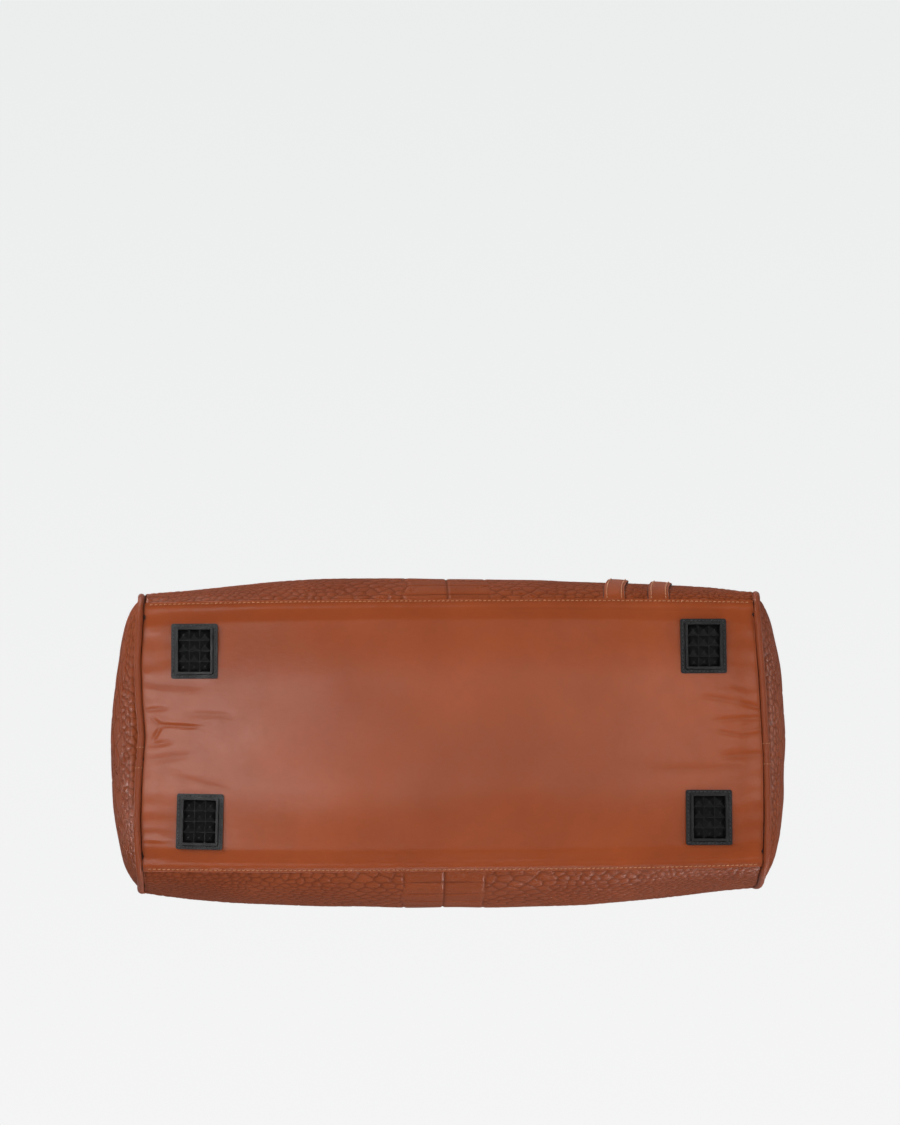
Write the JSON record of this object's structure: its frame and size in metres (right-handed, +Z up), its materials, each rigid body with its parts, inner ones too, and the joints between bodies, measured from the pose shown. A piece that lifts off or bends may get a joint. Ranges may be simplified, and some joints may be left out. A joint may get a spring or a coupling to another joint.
{
  "type": "duffel bag",
  "caption": "Tan leather duffel bag with embossed walls, smooth base, studded rubber feet, piped ends, rolled handles and a zip mouth.",
  "frame": {"origin": "on the floor under the middle of the bag", "axes": "+X along the bag, -Y is the front wall with the two straps, +Z up"},
  "size_m": [0.5398, 0.2541, 0.428],
  "materials": {
    "tan_leather": "smooth aniline leather, low sheen",
    "croc_leather": "crocodile-embossed leather, semi-gloss",
    "piping_leather": "smooth leather cord",
    "handle_leather": "rolled leather, stitched",
    "foot_rubber": "matt black rubber",
    "lining_cloth": "plain woven lining",
    "board": "stiff base board",
    "tape_cloth": "woven zip tape",
    "zip_metal": "brushed brass",
    "hardware": "polished brass"
  },
  "bodies": {
    "bag": {"back_left_chape": "tan_leather", "back_left_foot": "foot_rubber", "back_right_chape": "tan_leather", "back_right_foot": "foot_rubber", "back_wall": "croc_leather", "base_board": "board", "base_panel": "tan_leather", "chape_rivets": "hardware", "front_left_chape": "tan_leather", "front_left_foot": "foot_rubber", "front_right_chape": "tan_leather", "front_right_foot": "foot_rubber", "front_wall": "croc_leather", "inner_front_strap": "tan_leather", "left_end_panel": "croc_leather", "left_piping": "piping_leather", "left_ring_tab": "tan_leather", "left_top_patch": "tan_leather", "left_zip_tape": "tape_cloth", "left_zip_teeth": "zip_metal", "lining": "lining_cloth", "outer_front_strap": "tan_leather", "right_end_panel": "croc_leather", "right_piping": "piping_leather", "right_ring_tab": "tan_leather", "right_top_patch": "tan_leather", "right_zip_tape": "tape_cloth", "right_zip_teeth": "zip_metal"},
    "front_lip_body": {"front_lip": "tan_leather", "front_lip_tape": "tape_cloth", "front_lip_teeth": "zip_metal"},
    "back_lip_body": {"back_lip": "tan_leather", "back_lip_tape": "tape_cloth", "back_lip_teeth": "zip_metal"},
    "slider_body": {"zip_slider": "hardware"},
    "puller_body": {"zip_puller": "hardware", "pull_tab": "tan_leather"},
    "front_handle_body": {"front_handle": "handle_leather", "front_grip": "handle_leather", "front_handle_rings": "hardware"},
    "back_handle_body": {"back_handle": "handle_leather", "back_grip": "handle_leather", "back_handle_rings": "hardware"},
    "left_ring_body": {"left_d_ring": "hardware"},
    "right_ring_body": {"right_d_ring": "hardware"}
  },
  "joints": [
    {"name": "front_lip_fold", "type": "hinge", "parent": "bag", "child": "front_lip_body", "pos_m": [0, -0.041, 0.276], "axis": [1, 0, 0], "range_deg": [0, 90]},
    {"name": "back_lip_fold", "type": "hinge", "parent": "bag", "child": "back_lip_body", "pos_m": [0, 0.041, 0.276], "axis": [-1, 0, 0], "range_deg": [0, 90]},
    {"name": "zip_slide", "type": "slide", "parent": "bag", "child": "slider_body", "axis": [-1, 0, 0], "range_m": [0, 0.368]},
    {"name": "puller_hinge", "type": "hinge", "parent": "slider_body", "child": "puller_body", "pos_m": [0.187, 0, 0.2796], "axis": [0, -1, 0], "range_deg": [0, 170]},
    {"name": "front_handle_swing", "type": "hinge", "parent": "bag", "child": "front_handle_body", "pos_m": [0, -0.1185, 0.204], "axis": [1, 0, 0], "range_deg": [0, 165]},
    {"name": "back_handle_swing", "type": "hinge", "parent": "bag", "child": "back_handle_body", "pos_m": [0, 0.1185, 0.204], "axis": [-1, 0, 0], "range_deg": [0, 165]},
    {"name": "left_ring_swing", "type": "hinge", "parent": "bag", "child": "left_ring_body", "pos_m": [-0.26522, 0, 0.204], "axis": [0, 1, 0], "range_deg": [0, 140]},
    {"name": "right_ring_swing", "type": "hinge", "parent": "bag", "child": "right_ring_body", "pos_m": [0.26522, 0, 0.204], "axis": [0, -1, 0], "range_deg": [0, 140]}
  ]
}
